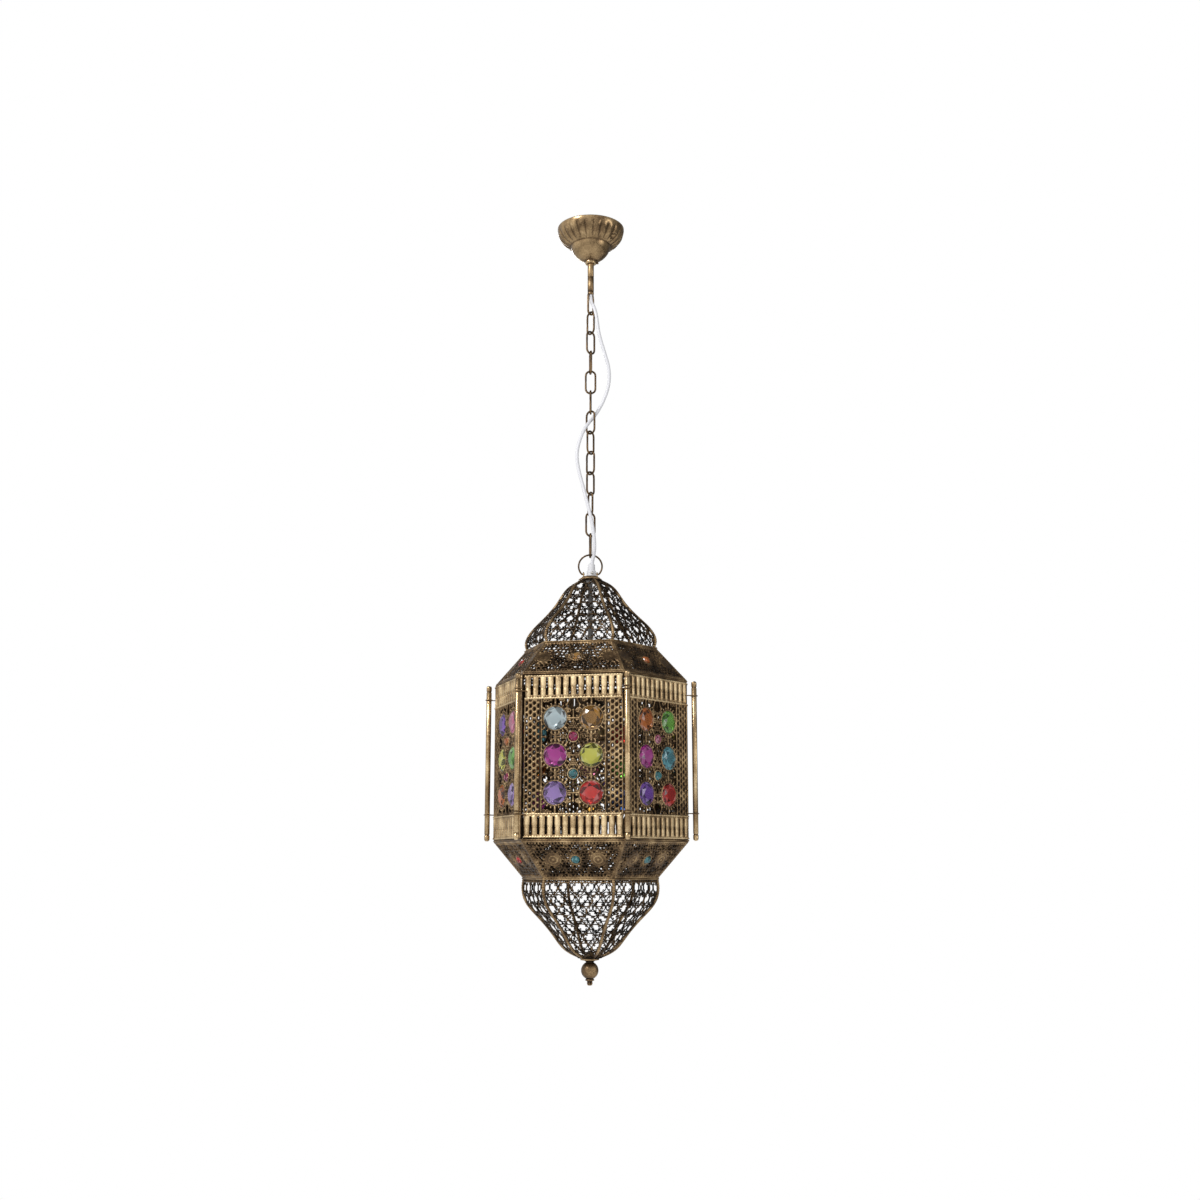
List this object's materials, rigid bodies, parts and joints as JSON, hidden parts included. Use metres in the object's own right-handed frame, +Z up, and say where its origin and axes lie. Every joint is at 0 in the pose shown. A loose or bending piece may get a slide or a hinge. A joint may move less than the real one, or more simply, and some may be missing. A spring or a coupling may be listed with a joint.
{
  "type": "hanging lantern",
  "caption": "Hexagonal filigree pendant lantern with faceted gems, hung from a chain and a fluted ceiling rose with a flex woven round it.",
  "frame": {"origin": "centre of the ceiling rose's rim, on the ceiling plane", "axes": "+Z up out of the rim into the ceiling, -Y through the middle of the front panel (the door)"},
  "size_m": [0.2446, 0.213, 0.884],
  "materials": {
    "aged_brass": "antique patina, dark recesses and rubbed edges",
    "chain_brass": "antique patina, satin",
    "steel": "zinc plated",
    "white_flex": "smooth white PVC",
    "white_plastic": "moulded nylon",
    "grey_sleeve": "woven glass-fibre sleeve",
    "holder_shell": "spun brass, slightly tarnished",
    "ceramic": "glazed ceramic",
    "gem_front": "faceted acrylic",
    "gem_front_right": "faceted acrylic",
    "gem_back_right": "faceted acrylic",
    "gem_back": "faceted acrylic",
    "gem_back_left": "faceted acrylic",
    "gem_front_left": "faceted acrylic",
    "gem_amber": "faceted acrylic"
  },
  "bodies": {
    "ceiling_rose": {"canopy": "aged_brass", "crossbar": "steel", "canopy_screws": "steel", "hook": "chain_brass", "stem_nut": "steel", "terminal_block": "ceramic", "canopy_lead": "white_flex", "supply_cord": "white_flex"},
    "link_01": {"link_01": "chain_brass"},
    "link_02": {"link_02": "chain_brass"},
    "link_03": {"link_03": "chain_brass"},
    "link_04": {"link_04": "chain_brass"},
    "link_05": {"link_05": "chain_brass"},
    "link_06": {"link_06": "chain_brass"},
    "link_07": {"link_07": "chain_brass"},
    "link_08": {"link_08": "chain_brass"},
    "link_09": {"link_09": "chain_brass"},
    "link_10": {"link_10": "chain_brass"},
    "link_11": {"link_11": "chain_brass"},
    "link_12": {"link_12": "chain_brass"},
    "bail_ring": {"bail_ring": "chain_brass"},
    "lantern": {"cap": "aged_brass", "cord_grip": "white_plastic", "grip_screw": "steel", "grip_nut": "steel", "sleeved_cord": "grey_sleeve", "lamp_holder": "holder_shell", "holder_contact": "ceramic", "dome_frame": "aged_brass", "bowl_frame": "aged_brass", "upper_skirt": "aged_brass", "lower_skirt": "aged_brass", "skirt_gems": "gem_amber", "corner_rods": "aged_brass", "rod_clips": "aged_brass", "finial": "aged_brass", "dome_front": "aged_brass", "bowl_front": "aged_brass", "dome_front_right": "aged_brass", "bowl_front_right": "aged_brass", "panel_front_right": "aged_brass", "gems_front_right": "gem_front_right", "dome_back_right": "aged_brass", "bowl_back_right": "aged_brass", "panel_back_right": "aged_brass", "gems_back_right": "gem_back_right", "dome_back": "aged_brass", "bowl_back": "aged_brass", "panel_back": "aged_brass", "gems_back": "gem_back", "dome_back_left": "aged_brass", "bowl_back_left": "aged_brass", "panel_back_left": "aged_brass", "gems_back_left": "gem_back_left", "dome_front_left": "aged_brass", "bowl_front_left": "aged_brass", "panel_front_left": "aged_brass", "gems_front_left": "gem_front_left"},
    "door": {"panel_front": "aged_brass", "gems_front": "gem_front"}
  },
  "joints": [
    {"name": "link_01_swing", "type": "hinge", "parent": "ceiling_rose", "child": "link_01", "pos_m": [0, 0, -0.1089], "axis": [0.592, 0.8059, 0], "range_deg": [-5, 5]},
    {"name": "link_02_swing", "type": "hinge", "parent": "link_01", "child": "link_02", "pos_m": [0, 0, -0.1337], "axis": [0.8059, -0.592, 0], "range_deg": [-5, 5]},
    {"name": "link_03_swing", "type": "hinge", "parent": "link_02", "child": "link_03", "pos_m": [0, 0, -0.1585], "axis": [0.6334, 0.7738, 0], "range_deg": [-5, 5]},
    {"name": "link_04_swing", "type": "hinge", "parent": "link_03", "child": "link_04", "pos_m": [0, 0, -0.1833], "axis": [-0.3206, 0.9472, 0], "range_deg": [-5, 5]},
    {"name": "link_05_swing", "type": "hinge", "parent": "link_04", "child": "link_05", "pos_m": [0, 0, -0.2081], "axis": [0.9826, 0.1857, 0], "range_deg": [-5, 5]},
    {"name": "link_06_swing", "type": "hinge", "parent": "link_05", "child": "link_06", "pos_m": [0, 0, -0.2329], "axis": [-0.1513, 0.9885, 0], "range_deg": [-5, 5], "deforming": ["supply_cord"]},
    {"name": "link_07_swing", "type": "hinge", "parent": "link_06", "child": "link_07", "pos_m": [0, 0, -0.2577], "axis": [0.9041, -0.4274, 0], "range_deg": [-5, 5]},
    {"name": "link_08_swing", "type": "hinge", "parent": "link_07", "child": "link_08", "pos_m": [0, 0, -0.2825], "axis": [0.4894, 0.8721, 0], "range_deg": [-5, 5]},
    {"name": "link_09_swing", "type": "hinge", "parent": "link_08", "child": "link_09", "pos_m": [0, 0, -0.3073], "axis": [0.8545, -0.5195, 0], "range_deg": [-5, 5]},
    {"name": "link_10_swing", "type": "hinge", "parent": "link_09", "child": "link_10", "pos_m": [0, 0, -0.3321], "axis": [0.5635, 0.8261, 0], "range_deg": [-5, 5]},
    {"name": "link_11_swing", "type": "hinge", "parent": "link_10", "child": "link_11", "pos_m": [0, 0, -0.3569], "axis": [0.5835, -0.8121, 0], "range_deg": [-5, 5]},
    {"name": "link_12_swing", "type": "hinge", "parent": "link_11", "child": "link_12", "pos_m": [0, 0, -0.3817], "axis": [0.7581, 0.6521, 0], "range_deg": [-5, 5]},
    {"name": "ring_swing", "type": "hinge", "parent": "link_12", "child": "bail_ring", "pos_m": [0, 0, -0.4065], "axis": [0.2706, -0.9627, 0], "range_deg": [-8, 8]},
    {"name": "lantern_swing", "type": "hinge", "parent": "bail_ring", "child": "lantern", "pos_m": [0, 0, -0.42671], "axis": [0.9826, 0.1857, 0], "range_deg": [-12, 12]},
    {"name": "door_hinge", "type": "hinge", "parent": "lantern", "child": "door", "pos_m": [-0.059, -0.10219, -0.6415], "axis": [0, 0, -1], "range_deg": [0, 110]}
  ]
}
